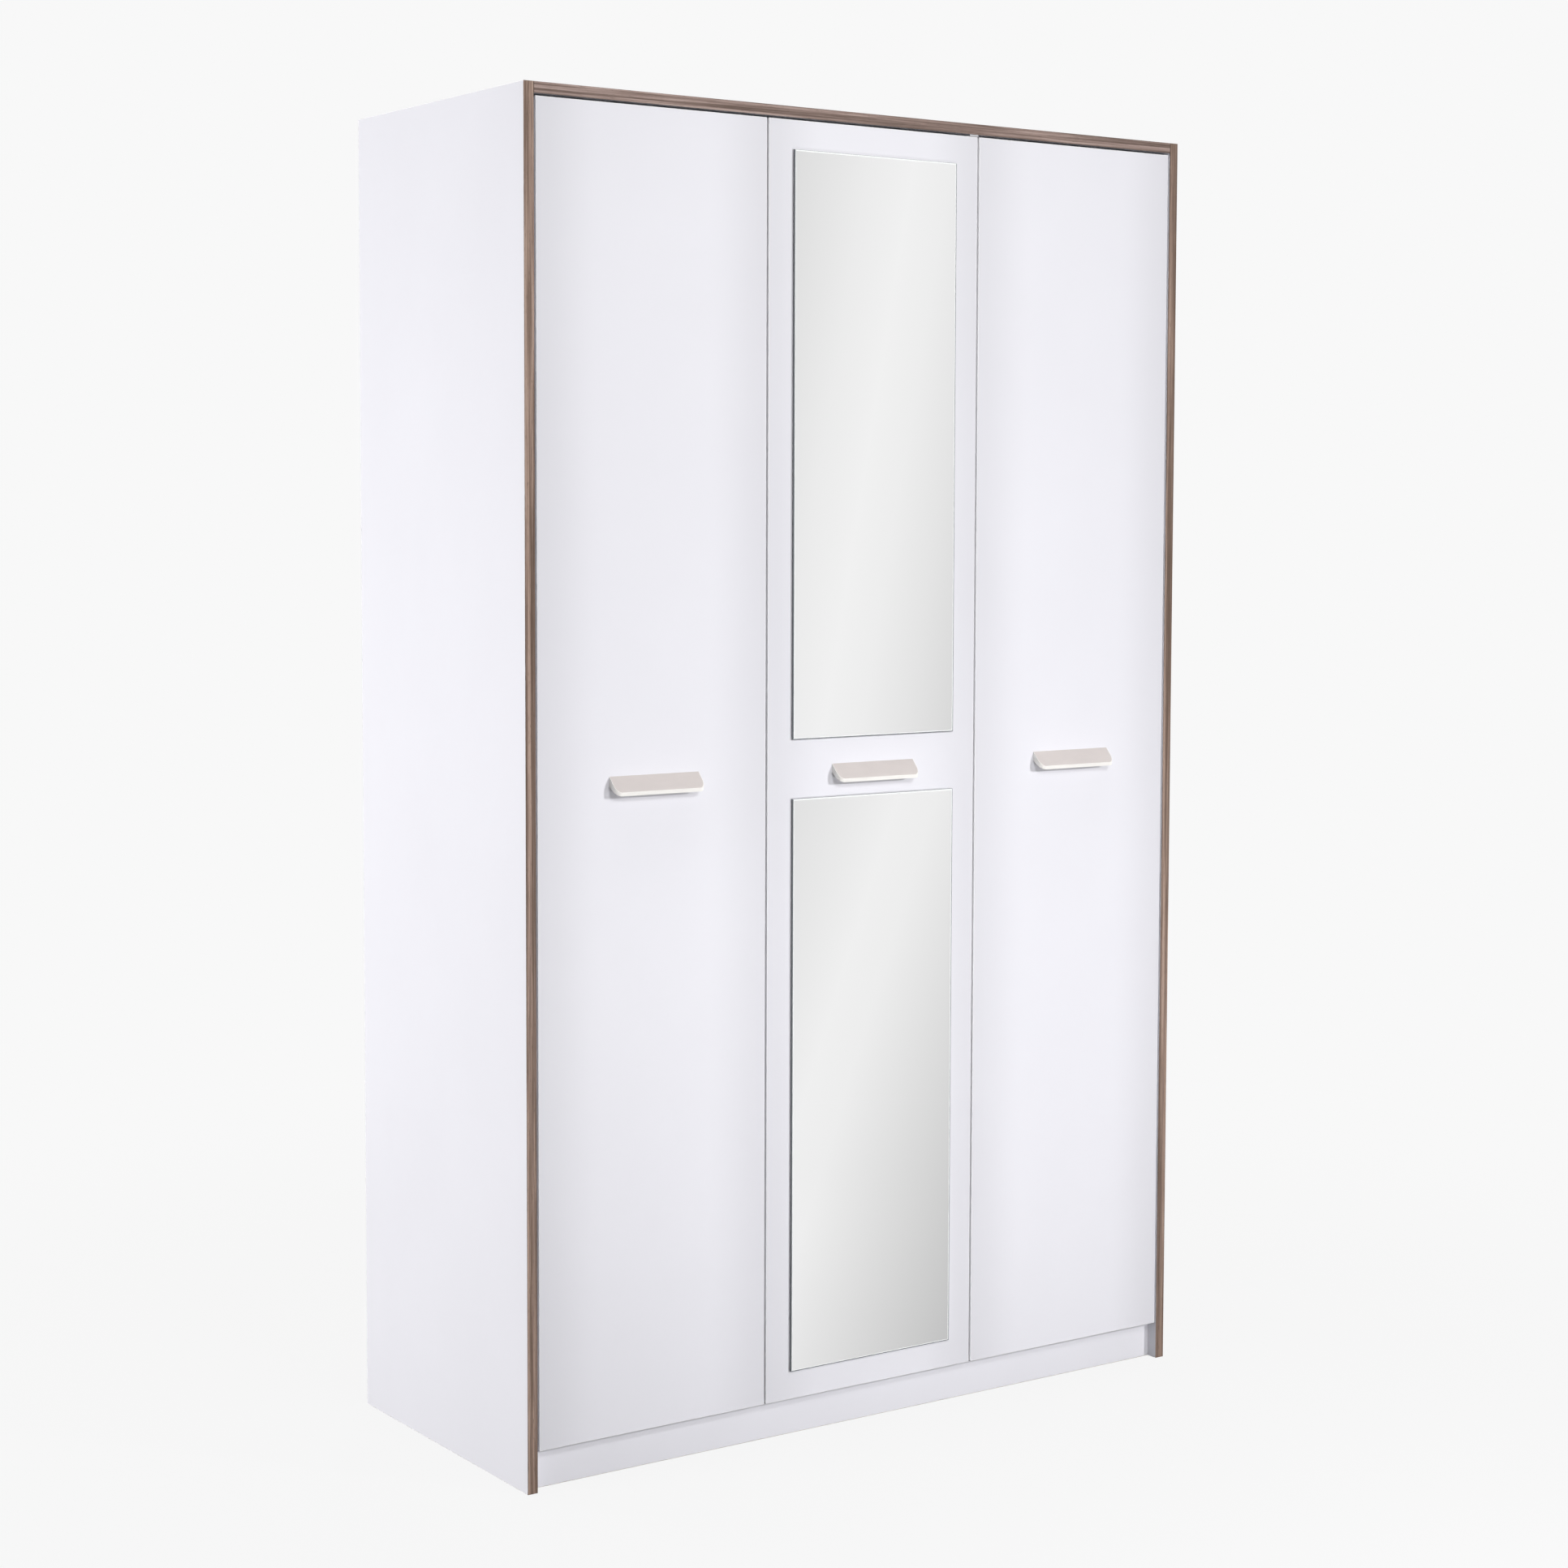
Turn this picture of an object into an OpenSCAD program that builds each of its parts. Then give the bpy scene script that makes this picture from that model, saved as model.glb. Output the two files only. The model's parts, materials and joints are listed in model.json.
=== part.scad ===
// Three-door wardrobe with two mirrors on its middle door.
// Inside: a double-width hanging space behind the left and middle doors,
// and a shelved space behind the right door.
// Origin: middle of the footprint, on the floor. +X to the right, +Y to the back, +Z up. Millimetres.

/* [Cabinet] */
// Overall width across the two sides
width = 1200; // [1140:10:1500]
// Overall height
height = 1980; // [1850:10:2200]
// Depth from the front edges to the back face, without the handles
depth = 510; // [450:10:600]
// Thickness of the boards
board = 16; // [16:1:19]
// Height of the plinth board
plinth_height = 58; // [50:1:90]
// How far the plinth stands behind the front edges
plinth_setback = 19; // [19:1:40]
// Thickness of the wood-grain band on the front edges
band_t = 1; // [0.5:0.5:2]
// Thickness of the back panels
back_t = 3; // [3:0.5:5]

/* [Doors] */
// Gap round each door
door_gap = 3; // [3:0.5:5]
// How far the door fronts sit behind the front edges
door_recess = 1; // [0:0.5:2]
// Number of hinges on each door
hinge_count = 4; // [3:1:5]

/* [Mirrors] */
// Bare margin between a mirror and the door's edges
mirror_margin = 43; // [30:1:60]
// Height of the bare door between the two mirrors
mirror_spacing = 88; // [70:2:120]
// Thickness of the glass
glass_t = 3; // [3:0.5:4]
// Thickness of the adhesive tape behind the glass
tape_t = 1; // [1:0.5:2]

/* [Handles] */
// Length of a handle
handle_w = 151; // [151:1:180]
// How far a handle stands out from its door
handle_depth = 20; // [18:1:26]
// Height of a handle
handle_h = 27; // [26:1:32]
// Height of a handle's top edge above the floor
handle_top = 1015; // [1000:5:1040]
// Distance between a handle's two screws
handle_pitch = 128; // [96:32:128]

/* [Interior] */
// Clear height above the hat shelf
hat_space_h = 300; // [250:10:400]
// Drop from the hat shelf to the middle of the hanging rail
rail_drop = 55; // [45:5:80]

/* [Hidden] */
$fn = 48;
eps = 0.01;

// Colours of the materials
BOARD_WHITE = [0.93, 0.93, 0.95];
BAND_TAUPE = [0.53, 0.45, 0.41];
BACK_WHITE = [0.88, 0.87, 0.85];
PLASTIC_CREAM = [0.94, 0.92, 0.89];
STEEL = [0.70, 0.70, 0.72];
CHROME = [0.85, 0.85, 0.87];
BEECH = [0.80, 0.64, 0.44];
RUBBER_CLEAR = [0.85, 0.86, 0.86];
MIRROR = [0.82, 0.85, 0.88];
FOAM = [0.25, 0.25, 0.27];

// Cabinet
half_w = width / 2;
inner_half = half_w - board;
front_y = (handle_depth - door_recess - depth) / 2;
back_y = front_y + depth;
board_back_y = back_y - back_t;
floor_z = plinth_height + board;
ceiling_z = height - board;
plinth_y = front_y + plinth_setback;

// Doors: 0 is the left one, 1 the middle one, 2 the right one
door_t = board;
door_w = (2 * inner_half - 4 * door_gap) / 3;
door_z = plinth_height + 1;
door_top = ceiling_z - door_gap;
door_h = door_top - door_z;
door_y = front_y + door_recess;
door_back_y = door_y + door_t;
door_x = [for (i = [0:2]) -inner_half + door_gap + i * (door_w + door_gap)];

// Hinges: the pin is inside the cup, near the door's hinge edge
pin_inset = 11;
pin_y = door_y + door_t / 2;
pin_r = 1.2;
pin_half_l = 11.9;
pin_clearance = 0.05;
corner_sweep = norm([pin_inset, door_t / 2]);
pin_x = [door_x[0] + pin_inset, door_x[1] + door_w - pin_inset, door_x[2] + door_w - pin_inset];
hinge_end = 100;
hinge_step = (door_h - 2 * hinge_end) / (hinge_count - 1);
hinge_z = [for (k = [0:hinge_count - 1]) door_z + hinge_end + k * hinge_step];
wall_x = -(pin_inset + door_gap);
cup_x = 22.5 - pin_inset;
cup_r = 17.5;
cup_wall = 1;
cup_depth = 11.5;
cup_fit = 0.05;
flange_t = 1.2;
cup_screw_x = cup_x + 6;
cup_screw_z = 24;
arm_w = 12;
arm_t = 1.8;
knuckle_r = 2.4;
hook_x = 12.9;
hook_y = corner_sweep + 0.7;
channel_l = 56;
channel_x = -3;
channel_wall = 1.4;
plate_t = 2;
plate_y = hook_y + 31;
plate_screw_z = 16;
arm_screw_y = plate_y + 14;
wall_screw_l = 11;
wall_screw_r = 2.4;

// Inner boards stay behind the sweep of the doors' hinge edges
inner_y = pin_y + corner_sweep + 0.4;
partition_x = door_x[1] + door_w + door_gap;
partition_mid = partition_x + board / 2;
shelf_front_y = inner_y + 20;
hat_shelf_z = ceiling_z - hat_space_h - board;
bay_x = partition_x + board;
bay_w = inner_half - bay_x;
shelf_count = 4;
bay_h = (ceiling_z - floor_z - shelf_count * board) / (shelf_count + 1);
shelf_z = [for (k = [1:shelf_count]) floor_z + k * bay_h + (k - 1) * board];
shelf_side_gap = 1;
shelf_back_gap = 2;

// Shelf pins
shelf_pin_r = 2.5;
shelf_pin_in = 8;
shelf_pin_out = 8;
shelf_pin_head_r = 3.5;
shelf_pin_y = [shelf_front_y + 37, board_back_y - 40];
pin_row_step = 32;

// Hanging rail
rail_r = 12.5;
rail_wall = 1.2;
rail_y = (front_y + back_y) / 2;
rail_z = hat_shelf_z - rail_drop;
socket_flange_r = 24;
socket_flange_t = 3;
socket_r = 15;
socket_l = 14;
socket_screw_z = 19.5;
rail_screw_r = 1.75;

// Cam fittings and dowels
cam_r = 7.5;
cam_depth = 12.5;
cam_reach = 34;
cam_bolt_bore_r = 4;
bolt_hole_r = 2.5;
bolt_hole_l = 11;
cap_r = 8.5;
cap_t = 1;
dowel_r = 4;
dowel_in_side = 10;
dowel_in_board = 20;
fit = 0.05;
cam_y = [front_y + 60, board_back_y - 50];
dowel_y = [front_y + 110, board_back_y - 100];

// Back panels and their nails
back_edge_gap = 2;
back_seam_gap = 0.5;
nail_r = 0.8;
nail_l = 18;
nail_head_r = 2.5;
nail_head_t = 0.8;
nail_rows_z = 7;
nail_cols_left = 3;

// Mirrors
mirror_w = door_w - 2 * mirror_margin;
mirror_h = (door_h - 2 * mirror_margin - mirror_spacing) / 2;
mirror_x = door_x[1] + mirror_margin;
mirror_y = door_y - tape_t - glass_t;
mirror_z = [door_z + mirror_margin, door_z + mirror_margin + mirror_h + mirror_spacing];
tape_w = 20;
tape_inset = 30;

// Handles
handle_slope_drop = handle_h - 5;
handle_end_h = 14;
handle_corner = 10;
handle_wall = 2.5;
handle_roof = 3.3;
handle_screw_drop = 10;
boss_r = 4;
handle_screw_r = 2;
handle_bore_l = 5.3;

// A cylinder along +X
module rod_x(l, r) {
  rotate([0, 90, 0]) cylinder(h = l, r = r);
}

// A cylinder along +Y
module rod_y(l, r) {
  rotate([-90, 0, 0]) cylinder(h = l, r = r);
}

// ---- Places: children are drawn once at every place ----

// Ends of a level board that runs from x0 to x1.
// Children run into the board along +X, with its underside at -Z.
module at_board_ends(x0, x1, z, ys) {
  for (y = ys) {
    translate([x0, y, z]) children();
    translate([x1, y, z]) mirror([1, 0, 0]) children();
  }
}

module at_top_ends(ys) {
  at_board_ends(-inner_half, inner_half, height - board / 2, ys) children();
}

module at_bottom_ends(ys) {
  at_board_ends(-inner_half, inner_half, plinth_height + board / 2, ys) children();
}

module at_hat_shelf_ends() {
  at_board_ends(-inner_half, partition_x, hat_shelf_z + board / 2, [shelf_front_y + 45, cam_y[1]]) children();
}

// Lower and upper end of the partition. Children run into it along +X, with its right face at -Z.
module at_partition_ends(ys) {
  for (y = ys) {
    translate([partition_mid, y, floor_z]) rotate([0, -90, 0]) children();
    translate([partition_mid, y, ceiling_z]) mirror([0, 0, 1]) rotate([0, -90, 0]) children();
  }
}

// Ends of the plinth. Children run into it along +X, with its rear face at -Z.
module at_plinth_ends(z) {
  for (side = [0, 1])
    mirror([side, 0, 0])
      translate([-inner_half, plinth_y + board / 2, z]) rotate([90, 0, 0]) children();
}

// Hinge pins of one door. Children have the wall at -X and the inside of the wardrobe at +Y.
module at_hinges(door) {
  for (z = hinge_z)
    translate([pin_x[door], pin_y, z]) mirror([door == 0 ? 0 : 1, 0, 0]) children();
}

module at_all_hinges() {
  for (door = [0:2]) at_hinges(door) children();
}

// Heights of the two wing screws of a hinge plate
module at_plate_screws() {
  for (z = [-plate_screw_z, plate_screw_z]) translate([wall_x, plate_y, z]) children();
}

// Holes for shelf pins in one wall. Children run out of the wall along +X.
module at_shelf_pins(steps) {
  for (z = shelf_z, y = shelf_pin_y, step = steps)
    translate([0, y, z - shelf_pin_head_r - fit + step * pin_row_step]) {
      translate([bay_x, 0, 0]) children();
      translate([inner_half, 0, 0]) mirror([1, 0, 0]) children();
    }
}

// The two walls that carry the hanging rail. Children run out of the wall along +X.
module at_rail_ends() {
  translate([-inner_half, rail_y, rail_z]) children();
  translate([partition_x, rail_y, rail_z]) mirror([1, 0, 0]) children();
}

module at_rail_screws() {
  at_rail_ends()
    for (z = [-socket_screw_z, socket_screw_z]) translate([0, 0, z]) children();
}

// Nails of the back panels. Children point forward, from the back face, along -Y.
module at_nails() {
  z_low = plinth_height + board / 2;
  z_high = height - board / 2;
  xs = [-half_w + board / 2, partition_mid - board / 4, partition_mid + board / 4, half_w - board / 2];
  for (x = xs, k = [0:nail_rows_z - 1])
    translate([x, back_y, z_low + (k + 0.5) * (z_high - z_low) / nail_rows_z]) children();
  left_step = (partition_mid + half_w) / (nail_cols_left + 1);
  for (z = [z_low, z_high]) {
    for (k = [1:nail_cols_left]) translate([-half_w + k * left_step, back_y, z]) children();
    translate([(partition_mid + half_w) / 2, back_y, z]) children();
  }
}

// ---- Fittings and the holes they need ----

// Housing of a cam lock and the bore of its bolt, in a board's end
module cam_bores() {
  translate([cam_reach, 0, -board / 2 - eps]) cylinder(h = cam_depth + eps, r = cam_r);
  translate([-eps, 0, 0]) rod_x(cam_reach, cam_bolt_bore_r);
}

// Threaded hole of a cam bolt, in the face that the board's end meets
module bolt_hole() {
  translate([-bolt_hole_l, 0, 0]) rod_x(bolt_hole_l + eps, bolt_hole_r);
}

module cam_bolt() {
  translate([0.5 - bolt_hole_l, 0, 0]) rod_x(bolt_hole_l - 0.5, bolt_hole_r - fit);
  rod_x(2, 3.6);
  rod_x(cam_reach - 7, 3);
  rod_x(cam_reach - 3, 2);
  translate([cam_reach - 5, 0, 0]) rod_x(2.5, 3.4);
}

module cam_lock() {
  cross_l = 7;
  cross_w = 1.4;
  cross_depth = 1.5;
  difference() {
    translate([cam_reach, 0, -board / 2]) cylinder(h = cam_depth - 0.2, r = cam_r - fit);
    translate([cam_reach - cam_r - 1, -3.9, -3.9]) cube([cam_r + 3, 7.8, board]);
    for (turn = [0, 90])
      translate([cam_reach, 0, -board / 2]) rotate([0, 0, turn])
        translate([-cross_l / 2, -cross_w / 2, -eps]) cube([cross_l, cross_w, cross_depth]);
  }
}

module cam_cap() {
  translate([cam_reach, 0, -board / 2 - cap_t]) cylinder(h = cap_t, r = cap_r);
}

module dowel(clear) {
  translate([-dowel_in_side - clear * 4, 0, 0])
    rod_x(dowel_in_side + dowel_in_board + clear * 8, dowel_r + clear);
}

module nail(clear) {
  translate([0, -nail_l - clear, 0]) rod_y(nail_l + clear, nail_r + clear);
  translate([0, -nail_head_t - clear, 0]) rod_y(nail_head_t + clear * 2, nail_head_r + clear);
}

module shelf_pin_hole() {
  translate([-shelf_pin_in - 0.5, 0, 0]) rod_x(shelf_pin_in + 0.5 + eps, shelf_pin_r + fit);
}

module shelf_pin() {
  translate([-shelf_pin_in, 0, 0]) rod_x(shelf_pin_in + shelf_pin_out, shelf_pin_r);
  rod_x(0.8, 4.4);
  rod_x(shelf_pin_out, shelf_pin_head_r);
}

module rail_screw_hole() {
  translate([-wall_screw_l, 0, 0]) rod_x(wall_screw_l + eps, rail_screw_r + fit);
}

module wall_screw_hole() {
  translate([-wall_screw_l - 0.5, 0, 0]) rod_x(wall_screw_l + 0.5 + eps, wall_screw_r + fit);
}

// ---- Carcass boards ----

// A side in the left side's place, with the holes that both sides have
module side_board() {
  difference() {
    translate([-half_w, front_y + band_t, 0]) cube([board, board_back_y - front_y - band_t, height]);
    at_top_ends(cam_y) bolt_hole();
    at_top_ends(dowel_y) dowel(fit);
    at_bottom_ends(cam_y) bolt_hole();
    at_bottom_ends(dowel_y) dowel(fit);
    at_plinth_ends(plinth_height / 3) bolt_hole();
    at_plinth_ends(plinth_height * 0.75) dowel(fit);
    at_hinges(0) at_plate_screws() wall_screw_hole();
    at_nails() nail(fit);
  }
}

module left_side() {
  color(BOARD_WHITE) difference() {
    side_board();
    at_hat_shelf_ends() bolt_hole();
    at_rail_screws() rail_screw_hole();
  }
}

module right_side() {
  color(BOARD_WHITE) difference() {
    mirror([1, 0, 0]) side_board();
    at_shelf_pins([-1, 0, 1]) shelf_pin_hole();
  }
}

module top_panel() {
  color(BOARD_WHITE) difference() {
    translate([-inner_half, front_y + band_t, ceiling_z])
      cube([2 * inner_half, board_back_y - front_y - band_t, board]);
    at_top_ends(cam_y) cam_bores();
    at_top_ends(dowel_y) dowel(fit);
    at_partition_ends([inner_y + 40, cam_y[1]]) bolt_hole();
    at_partition_ends(dowel_y) dowel(fit);
    at_nails() nail(fit);
  }
}

module bottom_panel() {
  color(BOARD_WHITE) difference() {
    translate([-inner_half, inner_y, plinth_height]) cube([2 * inner_half, board_back_y - inner_y, board]);
    at_bottom_ends(cam_y) cam_bores();
    at_bottom_ends(dowel_y) dowel(fit);
    at_partition_ends([inner_y + 40, cam_y[1]]) bolt_hole();
    at_partition_ends(dowel_y) dowel(fit);
    at_nails() nail(fit);
  }
}

module plinth() {
  color(BOARD_WHITE) difference() {
    translate([-inner_half, plinth_y, 0]) cube([2 * inner_half, board, plinth_height]);
    at_plinth_ends(plinth_height / 3) cam_bores();
    at_plinth_ends(plinth_height * 0.75) dowel(fit);
  }
}

module partition() {
  color(BOARD_WHITE) difference() {
    translate([partition_x, inner_y, floor_z]) cube([board, board_back_y - inner_y, ceiling_z - floor_z]);
    at_partition_ends([inner_y + 40, cam_y[1]]) cam_bores();
    at_partition_ends(dowel_y) dowel(fit);
    at_hat_shelf_ends() bolt_hole();
    at_hinges(1) at_plate_screws() wall_screw_hole();
    at_rail_screws() rail_screw_hole();
    at_shelf_pins([-1, 0, 1]) shelf_pin_hole();
    at_nails() nail(fit);
  }
}

module left_edge_band() {
  color(BAND_TAUPE) translate([-half_w, front_y, 0]) cube([board, band_t, height]);
}

module right_edge_band() {
  color(BAND_TAUPE) translate([inner_half, front_y, 0]) cube([board, band_t, height]);
}

module top_edge_band() {
  color(BAND_TAUPE) translate([-inner_half, front_y, ceiling_z]) cube([2 * inner_half, band_t, board]);
}

// A back panel from x0 to x1, nailed to the rear edges of the boards
module back_panel(x0, x1) {
  color(BACK_WHITE) difference() {
    translate([x0, board_back_y, plinth_height + back_edge_gap])
      cube([x1 - x0, back_t, height - plinth_height - 2 * back_edge_gap]);
    at_nails() nail(fit);
  }
}

module back_panel_left() {
  back_panel(-half_w + back_edge_gap, partition_mid - back_seam_gap / 2);
}

module back_panel_right() {
  back_panel(partition_mid + back_seam_gap / 2, half_w - back_edge_gap);
}

module hat_shelf() {
  color(BOARD_WHITE) difference() {
    translate([-inner_half, shelf_front_y, hat_shelf_z])
      cube([partition_x + inner_half, board_back_y - shelf_front_y, board]);
    at_hat_shelf_ends() cam_bores();
  }
}

// A loose shelf behind the right door, counted from the lowest
module loose_shelf(number) {
  color(BOARD_WHITE) translate([bay_x + shelf_side_gap, shelf_front_y, shelf_z[number - 1]])
    cube([bay_w - 2 * shelf_side_gap, board_back_y - shelf_back_gap - shelf_front_y, board]);
}

// ---- Carcass fittings ----

module shelf_pins() {
  color(STEEL) at_shelf_pins([0]) shelf_pin();
}

module hanging_rail() {
  rail_x = -inner_half + socket_flange_t + 0.5;
  rail_l = partition_x + inner_half - 2 * socket_flange_t - 1;
  color(CHROME) translate([rail_x, rail_y, rail_z]) difference() {
    rod_x(rail_l, rail_r);
    translate([-1, 0, 0]) rod_x(rail_l + 2, rail_r - rail_wall);
  }
}

module rail_sockets() {
  color(CHROME) at_rail_ends() difference() {
    union() {
      rod_x(socket_flange_t, socket_flange_r);
      rod_x(socket_l, socket_r);
    }
    translate([socket_flange_t, 0, 0]) rod_x(socket_l, rail_r + 0.1);
    for (z = [-socket_screw_z, socket_screw_z])
      translate([-eps, 0, z]) rod_x(socket_flange_t + 1, rail_screw_r + 0.2);
  }
}

module rail_screws() {
  color(STEEL) at_rail_screws() {
    translate([0.5 - wall_screw_l, 0, 0]) rod_x(wall_screw_l + socket_flange_t, rail_screw_r);
    translate([socket_flange_t, 0, 0]) rod_x(1.8, 3.4);
  }
}

// Every cam fitting of the carcass
module at_all_cams() {
  at_top_ends(cam_y) children();
  at_bottom_ends(cam_y) children();
  at_plinth_ends(plinth_height / 3) children();
  at_hat_shelf_ends() children();
  at_partition_ends([inner_y + 40, cam_y[1]]) children();
}

module cam_bolts() {
  color(STEEL) at_all_cams() cam_bolt();
}

module cam_locks() {
  color(STEEL) at_all_cams() cam_lock();
}

// Caps over the cams that can be seen from inside
module cam_caps() {
  color(PLASTIC_CREAM) {
    at_top_ends(cam_y) cam_cap();
    at_hat_shelf_ends() cam_cap();
    at_partition_ends([inner_y + 40, cam_y[1]]) cam_cap();
  }
}

module dowels() {
  color(BEECH) {
    at_top_ends(dowel_y) dowel(0);
    at_bottom_ends(dowel_y) dowel(0);
    at_plinth_ends(plinth_height * 0.75) dowel(0);
    at_partition_ends(dowel_y) dowel(0);
  }
}

module back_nails() {
  color(STEEL) at_nails() nail(0);
}

// Steel arm: a knuckle on the pin, a hook round the door's edge, and a channel back along the wall
module hinge_arm() {
  base_x = wall_x + plate_t;
  difference() {
    union() {
      cylinder(h = arm_w, r = knuckle_r, center = true);
      translate([0, -arm_t / 2, -arm_w / 2]) cube([hook_x, arm_t, arm_w]);
      translate([hook_x - arm_t, -arm_t / 2, -arm_w / 2]) cube([arm_t, hook_y + 1.5 * arm_t, arm_w]);
      translate([channel_x - channel_wall, hook_y, -arm_w / 2])
        cube([hook_x - channel_x + channel_wall, arm_t, arm_w]);
      difference() {
        translate([base_x, hook_y, -arm_w / 2]) cube([channel_x - base_x, channel_l, arm_w]);
        translate([base_x - 1, hook_y - 1, channel_wall - arm_w / 2])
          cube([channel_x - channel_wall - base_x + 1, channel_l + 2, arm_w - 2 * channel_wall]);
      }
    }
    cylinder(h = arm_w + 2, r = pin_r + pin_clearance, center = true);
    translate([channel_x - 3, arm_screw_y, 0]) rod_x(6, 2.1);
  }
}

module hinge_arms() {
  color(STEEL) at_all_hinges() hinge_arm();
}

// Mounting plate: two wings on the wall and a block that carries the arm
module hinge_plate() {
  wing_w = 12;
  wing_z = plate_screw_z + 7;
  block_w = arm_w - 2 * channel_wall - 0.4;
  block_h = channel_x - channel_wall - wall_x - plate_t - 0.4;
  difference() {
    union() {
      translate([wall_x, plate_y - 14, -arm_w / 2]) cube([plate_t, 38, arm_w]);
      translate([wall_x, plate_y - wing_w / 2, -wing_z + wing_w / 2])
        cube([plate_t, wing_w, 2 * wing_z - wing_w]);
      for (z = [-1, 1]) translate([wall_x, plate_y, z * (wing_z - wing_w / 2)]) rod_x(plate_t, wing_w / 2);
      translate([wall_x + plate_t, plate_y - 12, -block_w / 2]) cube([block_h, 34, block_w]);
    }
    at_plate_screws() translate([-1, 0, 0]) rod_x(plate_t + 2, wall_screw_r + 0.2);
    translate([wall_x + 1, arm_screw_y, 0]) rod_x(12, 2.05);
  }
}

module hinge_plates() {
  color(STEEL) at_all_hinges() hinge_plate();
}

// Screws that hold the plates on the wall
module hinge_plate_screws() {
  color(STEEL) at_all_hinges() at_plate_screws() {
    translate([-wall_screw_l, 0, 0]) rod_x(wall_screw_l + plate_t, wall_screw_r);
    translate([plate_t, 0, 0]) rod_x(2.2, 4);
  }
}

// Screws that hold the arms on the plates
module hinge_arm_screws() {
  color(STEEL) at_all_hinges() {
    translate([wall_x + 1.5, arm_screw_y, 0]) rod_x(channel_x - wall_x - 1.5, 2);
    translate([channel_x, arm_screw_y, 0]) rod_x(1.8, 3.6);
  }
}

// Soft pads that the closed doors rest on: two on the bottom panel, two on the partition
module door_bumpers() {
  pad_l = inner_y - door_back_y - 0.3 - eps;
  pad_z = plinth_height + board / 2;
  places = [
    [door_x[0] + door_w - 20, pad_z],
    [door_x[1] + 20, pad_z],
    [partition_mid, door_z + 60],
    [partition_mid, door_top - 60]
  ];
  color(RUBBER_CLEAR)
    for (place = places) translate([place[0], inner_y - pad_l - eps, place[1]]) rod_y(pad_l, 4);
}

// Plate under the top panel that fills the gap above the right end of the middle door
module top_spacer() {
  right = door_x[1] + door_w + 1.8;
  color(BOARD_WHITE)
    translate([right - board, door_y + 1, door_top + 0.5]) cube([board, door_t - 2, door_gap - 0.5]);
}

// ---- Doors ----

// Places of a door's handle screws, on the front face
module at_handle_screws(door) {
  for (side = [-1, 1])
    translate([door_x[door] + door_w / 2 + side * handle_pitch / 2, door_y, handle_top - handle_screw_drop])
      children();
}

module door_panel(door) {
  color(BOARD_WHITE) difference() {
    translate([door_x[door], door_y, door_z]) cube([door_w, door_t, door_h]);
    at_hinges(door) {
      translate([cup_x, door_t / 2 - cup_depth, 0]) rod_y(cup_depth + 1, cup_r);
      for (z = [-cup_screw_z, cup_screw_z])
        translate([cup_screw_x, door_t / 2 - wall_screw_l, z]) rod_y(wall_screw_l + 1, rail_screw_r + fit);
    }
    at_handle_screws(door) translate([0, -1, 0]) rod_y(door_t + 2, handle_screw_r + 0.15);
  }
}

// Pressed steel cup in the back of a door, with its two-eared flange
module hinge_cup() {
  back = door_t / 2;
  ear_r = 7;
  difference() {
    union() {
      translate([cup_x, back - cup_depth + cup_fit, 0]) rod_y(cup_depth - cup_fit, cup_r - cup_fit);
      translate([cup_x, back, 0]) rod_y(flange_t, cup_r + 1.5);
      translate([cup_screw_x - ear_r, back, -cup_screw_z]) cube([2 * ear_r, flange_t, 2 * cup_screw_z]);
      for (z = [-cup_screw_z, cup_screw_z]) translate([cup_screw_x, back, z]) rod_y(flange_t, ear_r);
    }
    translate([cup_x, back - cup_depth + 0.6, 0]) rod_y(cup_depth + flange_t, cup_r - cup_wall);
    cylinder(h = 2 * (pin_half_l + 1), r = pin_r + pin_clearance, center = true);
    for (z = [-cup_screw_z, cup_screw_z])
      translate([cup_screw_x, back - 1, z]) rod_y(flange_t + 2, rail_screw_r + 0.15);
  }
}

module hinge_cups(door) {
  color(STEEL) at_hinges(door) hinge_cup();
}

module hinge_pins(door) {
  color(STEEL) at_hinges(door) cylinder(h = 2 * pin_half_l, r = pin_r, center = true);
}

module cup_screws(door) {
  back = door_t / 2;
  color(STEEL) at_hinges(door) for (z = [-cup_screw_z, cup_screw_z]) {
    translate([cup_screw_x, back + 0.5 - wall_screw_l, z]) rod_y(wall_screw_l - 0.5 + flange_t, rail_screw_r);
    translate([cup_screw_x, back + flange_t, z]) rod_y(1.8, 3.6);
  }
}

// Plan of a handle, drawn in by wall: straight at the door, rounded at the two front corners
module handle_plan(wall) {
  w = handle_w - 2 * wall;
  d = handle_depth - wall;
  r = handle_corner - wall;
  translate([r - w / 2, -d]) square([w - 2 * r, d]);
  translate([-w / 2, r - d]) square([w, d - r]);
  for (side = [-1, 1]) translate([side * (w / 2 - r), r - d]) circle(r);
}

// A side view in the YZ plane, extruded along the handle
module handle_profile(points) {
  translate([-handle_w / 2 - 1, 0, 0]) rotate([90, 0, 90]) linear_extrude(handle_w + 2) polygon(points);
}

module handle_outside() {
  intersection() {
    translate([0, 0, -handle_h - 1]) linear_extrude(handle_h + 2) handle_plan(0);
    handle_profile([
      [0, 0],
      [-handle_depth, -handle_slope_drop],
      [-handle_depth, -handle_h],
      [0, -handle_end_h]
    ]);
  }
}

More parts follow.
